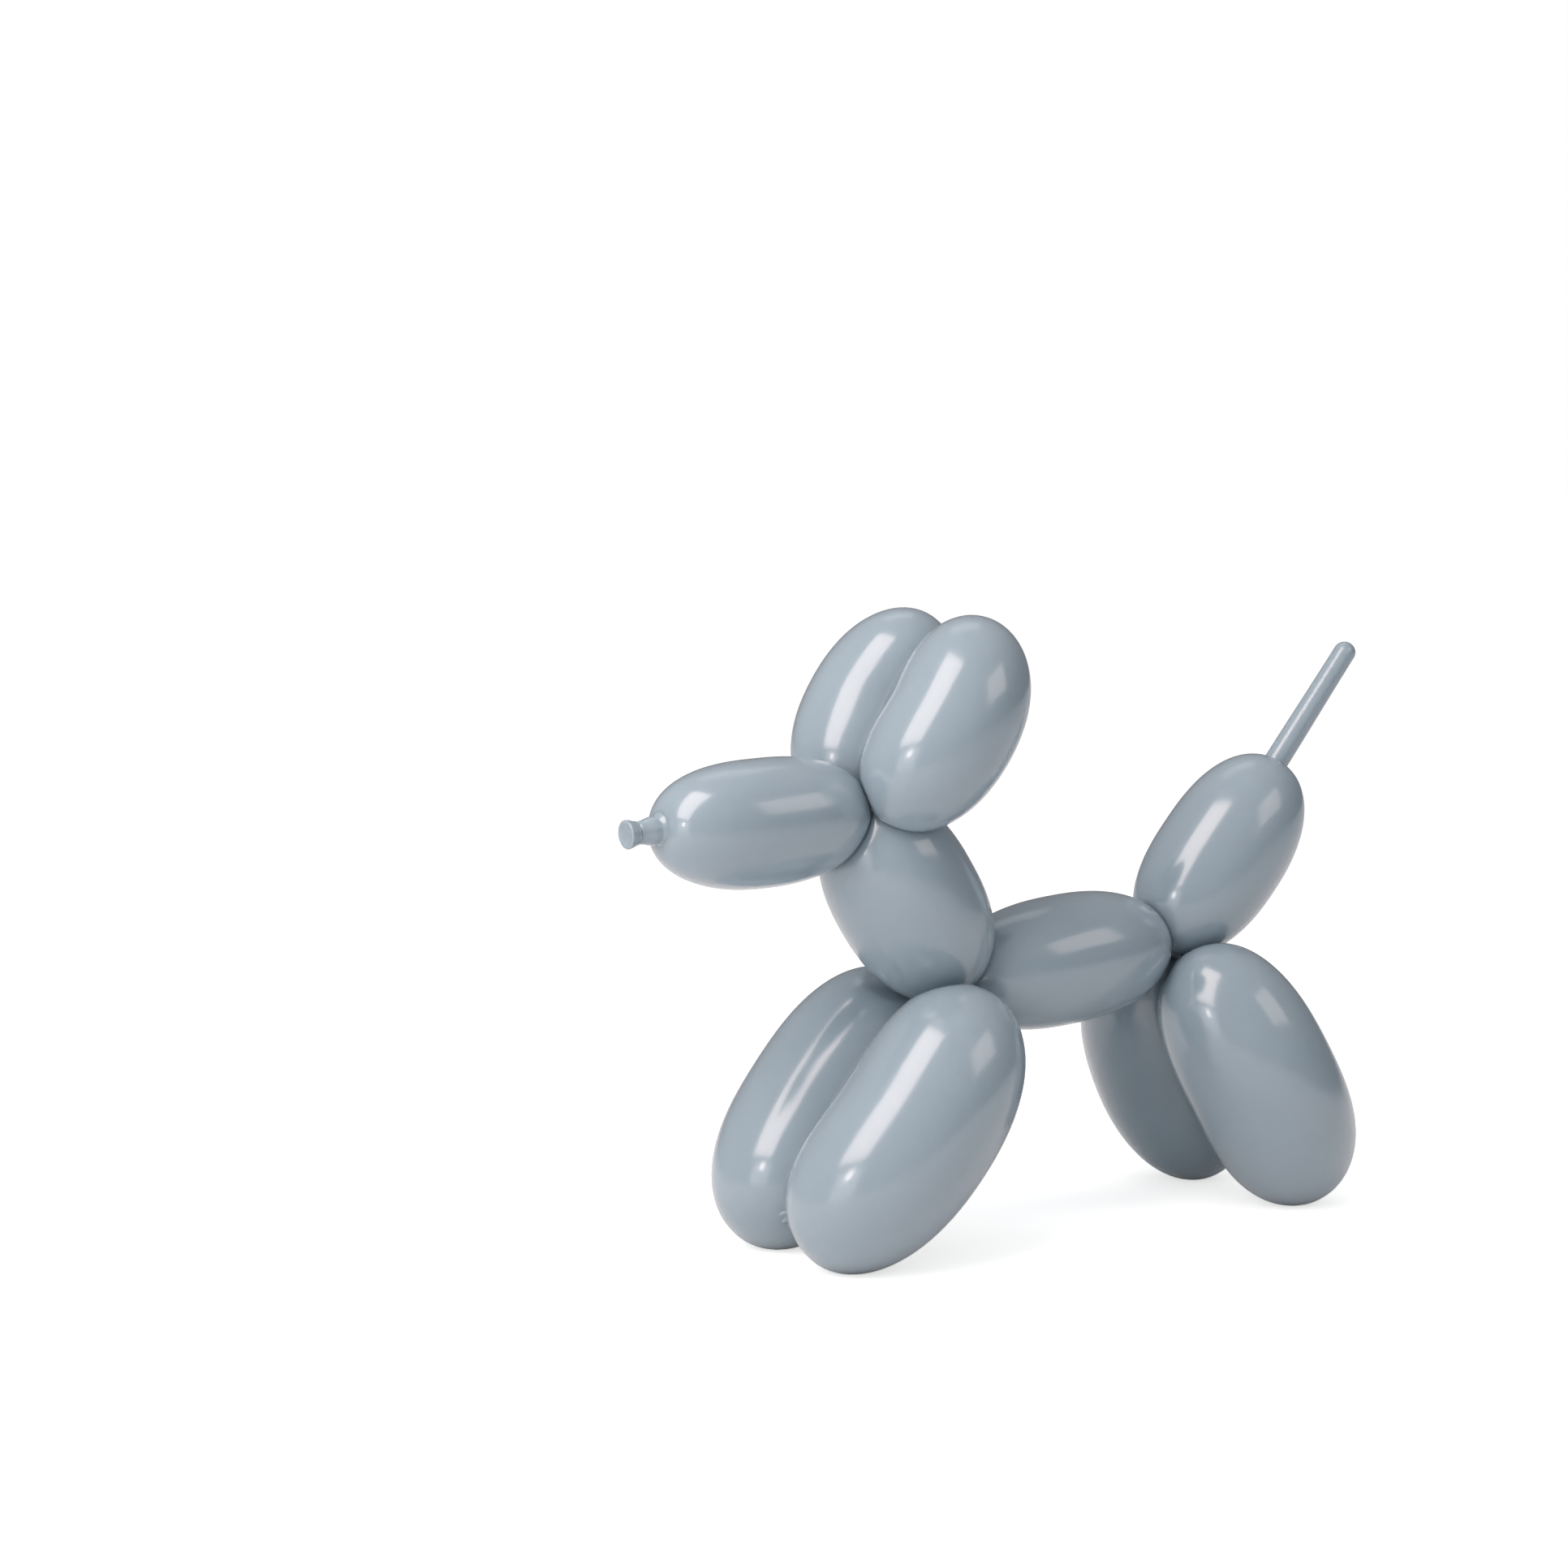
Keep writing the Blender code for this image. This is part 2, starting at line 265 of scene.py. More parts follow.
# The floor's board, which is lifted to white in the picture
FLOOR_HALF = 6.0
BOARD_TONE = (0.85, 0.85, 0.85, 1.0)
BOARD_LIFT = (0.66, 0.66, 0.65, 1.0)
BOARD_GLOSS = 0.1
BOARD_ROUGHNESS = 0.9
BOARD_SHEEN = 0.1
BACKDROP_TONE = (1.0, 1.0, 1.0, 1.0)

# Lamps: name, bearing, height, distance, width, tallness, radiance and colour
COOL_LIGHT = (0.96, 0.98, 1.0)
WARM_LIGHT = (1.0, 0.865, 0.82)
LAMPS = (
    ("main_panel", 13.0, 50.0, 0.98, 0.52, 0.94, 4.7, WARM_LIGHT),
    ("small_lamp", 18.5, 15.0, 1.1, 0.12, 0.12, 11.0, WARM_LIGHT),
    ("front_fill", 18.0, 8.0, 1.25, 0.6, 0.5, 1.4, COOL_LIGHT),
    ("side_fill", 126.0, 33.0, 1.2, 0.6, 0.46, 1.65, WARM_LIGHT),
    ("back_fill", 240.0, 62.0, 1.3, 0.6, 0.4, 0.5, COOL_LIGHT),
)

# Where the lamps aim, from the chest twist
LAMP_AIM = (0.0, 0.02, 0.01)

# The room's walls: bearing, height and tone
ROOM_WALLS = (
    (0.0, 90.0, (0.6, 0.61, 0.63)),
    (CAMERA_BEARING, 0.0, (0.46, 0.47, 0.49)),
    (CAMERA_BEARING - 90.0, 0.0, (0.52, 0.53, 0.55)),
    (CAMERA_BEARING + 90.0, 0.0, (0.04, 0.05, 0.06)),
    (CAMERA_BEARING + 180.0, 0.0, (0.2, 0.2, 0.21)),
)


def heading(angle):
    """Direction on the middle plane: 0 is ahead, 90 is up and 180 is behind."""
    turn = math.radians(angle)
    return np.array([0.0, -math.cos(turn), math.sin(turn)])


def square_to(along):
    """Direction on the middle plane at a right angle to another."""
    return np.array([0.0, -along[2], along[1]])


def swung(vector, angle):
    """A vector swung about the vertical."""
    turn = math.radians(angle)
    x = vector[0] * math.cos(turn) - vector[1] * math.sin(turn)
    y = vector[0] * math.sin(turn) + vector[1] * math.cos(turn)
    return np.array([x, y, vector[2]])


def outward(bearing, height):
    """Direction from the dog towards a bearing, 0 ahead and 90 at its left, and a height in degrees."""
    turn, rise = math.radians(bearing), math.radians(height)
    return Vector((math.sin(turn) * math.cos(rise), -math.cos(turn) * math.cos(rise), math.sin(rise)))


def single(name, start, end, width, bow=0.0):
    """A bubble on the middle plane, from twist to twist, bowed forward or down."""
    along = (end - start) / np.linalg.norm(end - start)
    return {
        "name": name,
        "start": start - along * TWIST_LAP,
        "end": end + along * TWIST_LAP,
        "width": width,
        "bow": square_to(along) * bow,
        "shoulder": SINGLE_SHOULDER,
    }


def pair(name, root, angle, length, width, spreads, press, bow, twist, turn=0.0, tilt=0.0):
    """Two bubbles side by side, from their twist to their free ends, left one first.

    The root is the place of their upper poles from the twist, on the middle plane.
    A tilt sets the left one lower than the right one.
    """
    along = heading(angle)
    side = square_to(along)
    leftward = np.array([math.cos(math.radians(tilt)), 0.0, -math.sin(math.radians(tilt))])
    root_spread, end_spread = spreads
    stand_off = width / 2.0 - press - (root_spread + end_spread) / 2.0
    bubbles = []
    for prefix, sign in (("left", 1.0), ("right", -1.0)):
        sideward = leftward * sign
        bubbles.append({
            "name": prefix + "_" + name,
            "start": twist + swung(root + sideward * root_spread, turn),
            "end": twist + swung(root + along * length + sideward * end_spread, turn),
            "width": width,
            "bow": swung(side * bow + sideward * stand_off, turn),
            "shoulder": PAIRED_SHOULDER,
        })
    return bubbles


def front_legs(chest):
    """The two front leg bubbles, hanging from the chest twist and reaching forward."""
    root = np.array([0.0, FRONT_LEG_ROOT_BEHIND, -FRONT_LEG_ROOT_DROP])
    spreads = (FRONT_LEG_ROOT_SPREAD, FRONT_LEG_END_SPREAD)
    return pair("front_leg", root, FRONT_LEG_REACH - 90.0, FRONT_LEG_LENGTH, FRONT_LEG_WIDTH,
                spreads, FRONT_LEG_PRESS, FRONT_LEG_BOW, chest)


def rear_legs(hip):
    """The two rear leg bubbles, hanging from the hip twist and reaching back."""
    root = np.array([0.0, REAR_LEG_ROOT_BEHIND, -REAR_LEG_ROOT_DROP])
    spreads = (REAR_LEG_ROOT_SPREAD, REAR_LEG_END_SPREAD)
    return pair("rear_leg", root, -90.0 - REAR_LEG_REACH, REAR_LEG_LENGTH, REAR_LEG_WIDTH,
                spreads, REAR_LEG_PRESS, -REAR_LEG_BOW, hip)


def ears(head):
    """The two ear bubbles, standing up from the head twist and leaning back."""
    root = np.array([0.0, EAR_ROOT_BEHIND, -EAR_ROOT_DROP])
    spreads = (EAR_ROOT_SPREAD, EAR_END_SPREAD)
    return pair("ear", root, 90.0 + EAR_LEAN, EAR_LENGTH, EAR_WIDTH,
                spreads, EAR_PRESS, -EAR_BOW, head, EAR_TURN, EAR_TILT)


def middle_line(bubble, share):
    """Points of a bubble's middle line, its direction there and its pace; share runs from -1 to 1."""
    along = bubble["end"] - bubble["start"]
    straight = bubble["start"] + np.outer((share + 1.0) / 2.0, along)
    point = straight + np.outer(1.0 - share ** 2, bubble["bow"])
    heading_on = along / 2.0 - np.outer(2.0 * share, bubble["bow"])
    pace = np.linalg.norm(heading_on, axis=1)
    return point, heading_on / pace[:, None], pace


def half_width(bubble, share):
    """Radius of a bubble along its middle line."""
    fullness = np.clip(1.0 - np.abs(share) ** bubble["shoulder"], 0.0, 1.0)
    return bubble["width"] / 2.0 * fullness ** (1.0 / END_ROUNDING)


def shares_between_poles(bands):
    """Shares of a bubble's length, pole to pole, closer together near the poles."""
    return -np.cos(np.linspace(0.0, math.pi, bands + 1))


def ring_turns(sides):
    """Where the points of a ring sit, as turns about the middle line."""
    return np.linspace(0.0, 2.0 * math.pi, sides, endpoint=False)


def free_skin(bubble, share, turn):
    """Points of a bubble's skin with nothing pressing on it, at shares of its length and turns."""
    point, direction, _ = middle_line(bubble, share)
    across = np.array([1.0, 0.0, 0.0]) - direction * direction[:, :1]
    across /= np.linalg.norm(across, axis=1)[:, None]
    upward = np.cross(direction, across)
    spoke = np.cos(turn)[:, None] * across + np.sin(turn)[:, None] * upward
    return point + half_width(bubble, share)[:, None] * spoke


def lowest(bubble):
    """Height of a bubble's lowest point before the ground presses on it."""
    share, turn = np.meshgrid(shares_between_poles(BUBBLE_BANDS), ring_turns(BUBBLE_SIDES))
    return free_skin(bubble, share.ravel(), turn.ravel())[:, 2].min()


def fill_with_balls(bubble):
    """Balls inside a bubble that touch its skin, to measure how deep a point lies in it."""
    share = shares_between_poles(BALLS_PER_BUBBLE + 1)[1:-1]
    point, direction, pace = middle_line(bubble, share)
    half = half_width(bubble, share)
    rise = half_width(bubble, share + SLOPE_NUDGE) - half_width(bubble, share - SLOPE_NUDGE)
    slope = rise / (2.0 * SLOPE_NUDGE * pace)
    shift = half * slope
    inside = np.abs(shift) < np.linalg.norm(bubble["end"] - bubble["start"]) / 2.0
    bubble["ball_centres"] = (point + direction * shift[:, None])[inside]
    bubble["ball_radii"] = (half * np.sqrt(1.0 + slope ** 2))[inside]


def twist_places():
    """Places of the head, chest and hip twists, with both pairs of feet pressed on the ground."""
    origin = np.zeros(3)
    chest_height = -lowest(front_legs(origin)[0]) - GROUND_PRESS
    hip_height = -lowest(rear_legs(origin)[0]) - GROUND_PRESS
    body_run = math.sqrt(BODY_LENGTH ** 2 - (hip_height - chest_height) ** 2)
    chest = np.array([0.0, 0.0, chest_height])
    hip = np.array([0.0, body_run, hip_height])
    head = chest + heading(90.0 - NECK_LEAN) * NECK_LENGTH
    return {"head": head, "chest": chest, "hip": hip}


def lay_out_bubbles(twists):
    """All ten bubbles of the dog by name, hung on its twists."""
    head, chest, hip = twists["head"], twists["chest"], twists["hip"]
    nose = head + heading(-MUZZLE_DROOP) * MUZZLE_LENGTH
    rump = hip + heading(90.0 + TAIL_LEAN) * TAIL_LENGTH
    bubbles = [
        single("neck", chest, head, NECK_WIDTH, NECK_BOW),
        single("muzzle", head, nose, MUZZLE_WIDTH, MUZZLE_SAG),
        single("body", chest, hip, BODY_WIDTH),
        single("tail", hip, rump, TAIL_WIDTH, -TAIL_BOW),
    ]
    bubbles += ears(head) + front_legs(chest) + rear_legs(hip)
    for bubble in bubbles:
        fill_with_balls(bubble)
    return {bubble["name"]: bubble for bubble in bubbles}


def clearance(points, bubble):
    """Distance of points from a bubble's free skin, negative inside it."""
    centres = bubble["ball_centres"]
    squares = (points ** 2).sum(axis=1)[:, None] + (centres ** 2).sum(axis=1)[None, :]
    squares = squares - 2.0 * points @ centres.T
    return (np.sqrt(np.maximum(squares, 0.0)) - bubble["ball_radii"]).min(axis=1)


def rounded_max(first, second, rounding):
    """The larger of two distances, with the corner between them rounded off."""
    near = np.clip(rounding - np.abs(first - second), 0.0, None) / rounding
    return np.maximum(first, second) + near * near * rounding / 4.0


def limits(points, bubble, neighbours):
    """How far points lie past a bubble's own skin, past halfway to a neighbour and under ground."""
    own = clearance(points, bubble)
    pasts = [(own - clearance(points, neighbour) + SKIN_GAP) / 2.0 for neighbour in neighbours]
    halfway = pasts[0]
    for past in pasts[1:]:
        halfway = rounded_max(halfway, past, CREASE_ROUNDING)
    return own, halfway, -points[:, 2]


def overrun(points, bubble, neighbours):
    """How far points lie outside the space that a bubble has, with its edges rounded off."""
    own, halfway, ground = limits(points, bubble, neighbours)
    return rounded_max(rounded_max(own, halfway, CREASE_ROUNDING), ground, FOOT_ROUNDING)


def pressed_skin(bubble, neighbours, share, turn):
    """Points of a bubble's skin, pushed in where its neighbours and the ground press on it."""
    heart, _, _ = middle_line(bubble, np.clip(share, -HEART_SHARE, HEART_SHARE))
    spoke = free_skin(bubble, share, turn) - heart
    touched = overrun(heart + spoke, bubble, neighbours) > PRESS_TOLERANCE
    near, far = np.zeros(touched.sum()), np.ones(touched.sum())
    for _ in range(PRESS_STEPS):
        middle = (near + far) / 2.0
        points = heart[touched] + middle[:, None] * spoke[touched]
        free = overrun(points, bubble, neighbours) < 0.0
        near = np.where(free, middle, near)
        far = np.where(free, far, middle)
    reach = np.ones(len(share))
    reach[touched] = near
    return heart + reach[:, None] * spoke


def bubble_grid():
    """A bubble's skin as a plain tube of unit radius, whose height is the share of its length."""
    grid = bmesh.new()
    low_pole, high_pole = grid.verts.new((0.0, 0.0, -1.0)), grid.verts.new((0.0, 0.0, 1.0))
    turns = ring_turns(BUBBLE_SIDES)
    rings = []
    for share in shares_between_poles(BUBBLE_BANDS)[1:-1]:
        rings.append([grid.verts.new((math.cos(turn), math.sin(turn), share)) for turn in turns])
    for step in range(BUBBLE_SIDES):
        after = (step + 1) % BUBBLE_SIDES
        grid.faces.new((low_pole, rings[0][after], rings[0][step]))
        grid.faces.new((high_pole, rings[-1][step], rings[-1][after]))
        for low, high in zip(rings, rings[1:]):
            grid.faces.new((low[step], low[after], high[after], high[step]))
    return grid


def grid_places(grid):
    """Share and turn of each point of a grid."""
    places = np.array([vertex.co for vertex in grid.verts])
    return places[:, 2], np.arctan2(places[:, 1], places[:, 0])


def bubble_mesh(bubble, neighbours):
    """Points and faces of a bubble's pressed skin, more finely divided along its creases."""
    grid = bubble_grid()
    for band in CREASE_BANDS:
        share, turn = grid_places(grid)
        points = pressed_skin(bubble, neighbours, share, turn)
        own, halfway, _ = limits(points, bubble, neighbours)
        near = np.abs(own - halfway) < band
        grid.verts.index_update()
        split = [edge for edge in grid.edges if near[edge.verts[0].index] or near[edge.verts[1].index]]
        bmesh.ops.subdivide_edges(grid, edges=split, cuts=1, use_grid_fill=True)
    bmesh.ops.triangulate(grid, faces=[face for face in grid.faces if len(face.verts) > 4])
    share, turn = grid_places(grid)
    grid.verts.index_update()
    faces = [tuple(vertex.index for vertex in face.verts) for face in grid.faces]
    grid.free()
    return pressed_skin(bubble, neighbours, share, turn), faces


def dimpled(skin, pole, axis):
    """The muzzle's skin, drawn in round its pole by the balloon's mouth."""
    away = skin - pole
    off_axis = np.linalg.norm(away - (away @ axis)[:, None] * axis, axis=1)
    near = np.linalg.norm(away, axis=1) < DIMPLE_CUT * DIMPLE_REACH
    pull = DIMPLE_DEPTH * np.exp(-(off_axis / DIMPLE_REACH) ** 2) * near
    return skin + pull[:, None] * axis


def pleated(skin, pole, axis):
    """The skin with fine pleats that run out from its pole at a twist."""
    away = skin - pole
    along = away @ axis
    flat = away - along[:, None] * axis
    off_axis = np.linalg.norm(flat, axis=1)
    across = np.cross(axis, np.array(PLEAT_MARK))
    across /= np.linalg.norm(across)
    turn = np.arctan2(flat @ np.cross(axis, across), flat @ across)
    fade = off_axis / PLEAT_REACH * np.exp(-(off_axis / PLEAT_REACH) ** 2 / 2.0)
    fade *= np.exp(-(along / PLEAT_REACH) ** 2)
    wander = PLEAT_WANDER * np.cos(PLEAT_WANDER_WAVES * turn)
    wave = np.cos(PLEATS * turn + wander + off_axis / PLEAT_REACH)
    return skin - (PLEAT_DEPTH * fade * (wave + 1.0))[:, None] * axis


def pole_at(bubble, twist):
    """A bubble's pole at a twist, and the direction in which the bubble points there."""
    near, far = bubble["start"], bubble["end"]
    if np.linalg.norm(near - twist) > np.linalg.norm(far - twist):
        near, far = far, near
    return near, (near - far) / np.linalg.norm(near - far)


def bubble_skin(name, bubbles, twists):
    """A bubble's finished skin: pressed by its neighbours, pleated, and dimpled if it is the muzzle."""
    bubble = bubbles[name]
    own_twists = [twist for twist, group in TWIST_GROUPS.items() if name in group]
    neighbours = []
    for twist in own_twists:
        neighbours += [bubbles[other] for other in TWIST_GROUPS[twist] if other != name]
    skin, faces = bubble_mesh(bubble, neighbours)
    for twist in own_twists:
        pole, axis = pole_at(bubble, twists[twist])
        skin = pleated(skin, pole, axis)
    if name == "muzzle":
        skin = dimpled(skin, bubble["end"], heading(180.0 - MUZZLE_DROOP))
    return skin, faces


def closed_mesh(rings, first_pole, last_pole):
    """Points and faces of a skin made of rings and closed by a pole at either end."""
    rows, sides, _ = rings.shape
    points = np.concatenate([[first_pole], rings.reshape(-1, 3), [last_pole]])
    steps = [(step, (step + 1) % sides) for step in range(sides)]
    faces = []
    for row in range(rows - 1):
        low = 1 + row * sides
        high = low + sides
        faces += [(low + step, low + after, high + after, high + step) for step, after in steps]
    top = len(points) - 1
    for step, after in steps:
        faces.append((0, 1 + after, 1 + step))
        faces.append((top, top - sides + step, top - sides + after))
    return points, faces


def turned(base, direction, outline, ripple, ripples):
    """A round closed skin along a direction; the outline gives distance and radius from the base."""
    across = np.cross(direction, np.array([1.0, 0.0, 0.0]))
    if np.linalg.norm(across) < NEARLY_ALONG:
        across = np.cross(direction, np.array([0.0, 1.0, 0.0]))
    across /= np.linalg.norm(across)
    upward = np.cross(direction, across)
    turn = ring_turns(TURNED_SIDES)
    spokes = np.cos(turn)[:, None] * across + np.sin(turn)[:, None] * upward
    rings = []
    for distance, radius in outline:
        waved = radius * (1.0 + ripple * np.cos(ripples * turn + RIPPLE_WANDER * np.sin(turn)))
        rings.append(base + direction * distance + waved[:, None] * spokes)
    first_pole = base + direction * outline[0][0]
    last_pole = base + direction * outline[-1][0]
    return closed_mesh(np.array(rings), first_pole, last_pole)


def arc(centre, radius, first, last, steps):
    """Outline points round an arc; angle 0 points out from the axis and 90 points along it."""
    points = []
    for step in range(steps + 1):
        turn = math.radians(first + (last - first) * step / steps)
        points.append((centre[0] + radius * math.sin(turn), centre[1] + radius * math.cos(turn)))
    return points


def smooth_run(first, last, steps):
    """Outline points that ease from one distance and radius to another."""
    points = []
    for step in range(steps + 1):
        share = step / steps
        ease = share * share * (3.0 - 2.0 * share)
        distance = first[0] + (last[0] - first[0]) * share
        points.append((distance, first[1] + (last[1] - first[1]) * ease))
    return points


def stem_outline(root, sleeve_start):
    """Outline of the mouth's stem: the fillet at its root, the stem and the groove ahead of it."""
    outline = smooth_run((root - NOZZLE_FILLET, NOZZLE_BASE_RADIUS + NOZZLE_FILLET),
                         (root + NOZZLE_FILLET, NOZZLE_BASE_RADIUS), FILLET_STEPS)
    outline += smooth_run((root + NOZZLE_STEM_START, NOZZLE_BASE_RADIUS),
                          (sleeve_start - 2.0 * NOZZLE_STEP, NOZZLE_STEM_RADIUS), STEM_STEPS)
    groove = NOZZLE_STEM_RADIUS - NOZZLE_GROOVE_DEPTH
    outline += smooth_run((sleeve_start - NOZZLE_STEP, NOZZLE_STEM_RADIUS - NOZZLE_STEP),
                          (sleeve_start, groove), GROOVE_STEPS)
    outline += smooth_run((sleeve_start + NOZZLE_STEP / 4.0, groove),
                          (sleeve_start + NOZZLE_STEP / 2.0, NOZZLE_STEM_RADIUS + NOZZLE_STEP / 2.0),
                          GROOVE_STEPS)
    return outline


def rim_outline(rim_middle, sleeve_start):
    """Outline of the mouth's end: a sleeve that widens to the rolled rim, and the round bowl in it."""
    roll_centre = (rim_middle, NOZZLE_RIM_RADIUS - NOZZLE_ROLL_RADIUS)
    roll = arc(roll_centre, NOZZLE_ROLL_RADIUS, ROLL_FIRST_ANGLE, ROLL_LAST_ANGLE, ROLL_STEPS)
    sleeve = smooth_run((sleeve_start + NOZZLE_STEP, NOZZLE_STEM_RADIUS + NOZZLE_STEP), roll[0],
                        SLEEVE_STEPS)
    brim, brim_radius = roll[-1]
    bowl = []
    for share in np.linspace(1.0, 0.0, BOWL_STEPS, endpoint=False)[1:]:
        bowl.append((brim - NOZZLE_BOWL_DEPTH * (1.0 - share ** 2), brim_radius * share))
    return sleeve[:-1] + roll + bowl


def nozzle_skin(muzzle):
    """The balloon's mouth: fillet, stem, groove, sleeve that widens to a rolled rim, and round bowl."""
    base = muzzle["end"] - np.array([0.0, 0.0, NOZZLE_DROP])
    rim_middle = NOZZLE_LENGTH - NOZZLE_ROLL_RADIUS
    sleeve_start = rim_middle - NOZZLE_SLEEVE_LENGTH
    outline = stem_outline(-DIMPLE_DEPTH, sleeve_start) + rim_outline(rim_middle, sleeve_start)
    return turned(base, heading(-NOZZLE_DROOP), outline, NOZZLE_RIPPLE, NOZZLE_RIPPLES)


def tail_tip_skin(tail):
    """The thin uninflated end with its round tip."""
    straight = TIP_LENGTH - TIP_END_RADIUS
    outline = smooth_run((-2.0 * TWIST_LAP, TIP_BASE_RADIUS), (straight, TIP_END_RADIUS), TIP_STEPS)
    outline += arc((straight, 0.0), TIP_END_RADIUS, TIP_FIRST_ANGLE, TIP_LAST_ANGLE, TIP_ROUND_STEPS)
    return turned(tail["end"], heading(90.0 + TIP_LEAN), outline, TIP_RIPPLE, TIP_RIPPLES)


def tie_ends(bubbles, pair_name, place):
    """The points on the middle lines of a pair's left and right bubbles where its tie sits."""
    shares = np.array([place])
    return [middle_line(bubbles[side + "_" + pair_name], shares)[0][0] for side in ("left", "right")]


def tie_skin(start, end):
    """The pinched and pleated twist between the two bubbles of a pair."""
    span = np.linalg.norm(end - start)
    waist = (span / 2.0, TIE_WAIST_RADIUS)
    near_mouth = (span / 2.0 - TIE_MOUTH_REACH, TIE_MOUTH_RADIUS)
    far_mouth = (span / 2.0 + TIE_MOUTH_REACH, TIE_MOUTH_RADIUS)
    outline = [(0.0, TIE_MOUTH_RADIUS)] + smooth_run(near_mouth, waist, TIE_STEPS)
    outline += smooth_run(waist, far_mouth, TIE_STEPS)[1:] + [(span, TIE_MOUTH_RADIUS)]
    return turned(start, (end - start) / span, outline, TIE_RIPPLE, PLEATS)


def gather_places(bubbles, twists, ties):
    """Where the skin is gathered: at the twists, at the bubbles' poles there and at the ties."""
    places = list(twists.values())
    for twist, group in TWIST_GROUPS.items():
        places += [pole_at(bubbles[name], twists[twist])[0] for name in group]
    places += [(start + end) / 2.0 for start, end in ties]
    return np.array(places)


def gathering(points, places):
    """How gathered the skin is at each point: 1 at a twist and 0 well away from all of them."""
    away = np.linalg.norm(points[:, None, :] - places[None, :, :], axis=2)
    return np.exp(-(away / GATHER_REACH) ** 2).max(axis=1)


def add_piece(name, parts, gathers, material):
    """One smooth object from several closed skins, with its gathering kept at each point."""
    points, faces = [], []
    for part_points, part_faces in parts:
        start = sum(len(block) for block in points)
        points.append(part_points)
        faces += [tuple(start + corner for corner in face) for face in part_faces]
    points = np.concatenate(points)
    mesh = bpy.data.meshes.new(name)
    mesh.from_pydata(points.tolist(), [], faces)
    mesh.shade_smooth()
    gather = mesh.attributes.new("gather", "FLOAT", "POINT")
    gather.data.foreach_set("value", gathering(points, gathers))
    mesh.materials.append(material)
    piece = bpy.data.objects.new(name, mesh)
    bpy.context.scene.collection.objects.link(piece)
    return piece


def add_node(tree, kind, **values):
    """A shader node with its settings."""
    item = tree.nodes.new(kind)
    for name, value in values.items():
        setattr(item, name, value)
    return item


def noise(tree, scale, detail, roughness):
    """A noise pattern in the object's own metres, as a number."""
    place = add_node(tree, "ShaderNodeTexCoord")
    texture = add_node(tree, "ShaderNodeTexNoise")
    texture.inputs["Scale"].default_value = scale
    texture.inputs["Detail"].default_value = detail
    texture.inputs["Roughness"].default_value = roughness
    tree.links.new(place.outputs["Object"], texture.inputs["Vector"])
    return texture.outputs["Fac"]


def ranged(tree, value, source=(0.0, 1.0), target=(0.0, 1.0)):
    """A value carried from one range to another and kept inside it."""
    item = add_node(tree, "ShaderNodeMapRange", clamp=True)
    for name, number in zip(("From Min", "From Max", "To Min", "To Max"), source + target):
        item.inputs[name].default_value = number
    tree.links.new(value, item.inputs["Value"])
    return item.outputs["Result"]


def math_of(tree, operation, first, second):
    """A sum, product or other joining of two values."""
    item = add_node(tree, "ShaderNodeMath", operation=operation)
    for index, value in enumerate((first, second)):
        if isinstance(value, (int, float)):
            item.inputs[index].default_value = value
        else:
            tree.links.new(value, item.inputs[index])
    return item.outputs[0]


def colour_mix(tree, amount, first, second):
    """Two colours mixed by an amount; a colour is a value or a socket."""
    item = add_node(tree, "ShaderNodeMix", data_type="RGBA")
    tree.links.new(amount, item.inputs["Factor"])
    colour_sockets = [socket for socket in item.inputs if socket.type == "RGBA"]
    for socket, colour in zip(colour_sockets, (first, second)):
        if isinstance(colour, tuple):
            socket.default_value = colour
        else:
            tree.links.new(colour, socket)
    return next(socket for socket in item.outputs if socket.type == "RGBA")


def give_out(tree, label, value):
    """A group's one named output: a value times the amount that each material sets."""
    amount = tree.interface.new_socket("Amount", in_out="INPUT", socket_type="NodeSocketFloat")
    amount.default_value = 1.0
    tree.interface.new_socket(label, in_out="OUTPUT", socket_type="NodeSocketFloat")
    given, result = tree.nodes.new("NodeGroupInput"), tree.nodes.new("NodeGroupOutput")
    tree.links.new(math_of(tree, "MULTIPLY", value, given.outputs["Amount"]), result.inputs[label])


def clouding_group():
    """Soft clouds where the latex came out of the dip thicker and thinner."""
    tree = bpy.data.node_groups.new("latex_clouding", "ShaderNodeTree")
    fine = math_of(tree, "MULTIPLY", noise(tree, *FINE_CLOUDS), FINE_CLOUD_SHARE)
    mixed = math_of(tree, "ADD", noise(tree, *BROAD_CLOUDS), fine)
    give_out(tree, "Thickness", ranged(tree, mixed, CLOUD_RANGE))
    return tree


def gathering_group():
    """How gathered the skin is at a twist, with the stretched latex as 0."""
    tree = bpy.data.node_groups.new("latex_gathering", "ShaderNodeTree")
    kept = add_node(tree, "ShaderNodeAttribute", attribute_name="gather")
    give_out(tree, "Gathering", kept.outputs["Fac"])
    return tree


def powder_group():
    """Faint powder that clings to the skin in tiny specks."""
    tree = bpy.data.node_groups.new("latex_powder", "ShaderNodeTree")
    specks = ranged(tree, noise(tree, *POWDER_SPECKS), SPECK_RANGE)
    patches = ranged(tree, noise(tree, *POWDER_PATCHES), PATCH_RANGE, PATCH_STRENGTH)
    give_out(tree, "Powder", math_of(tree, "MULTIPLY", specks, patches))
    return tree


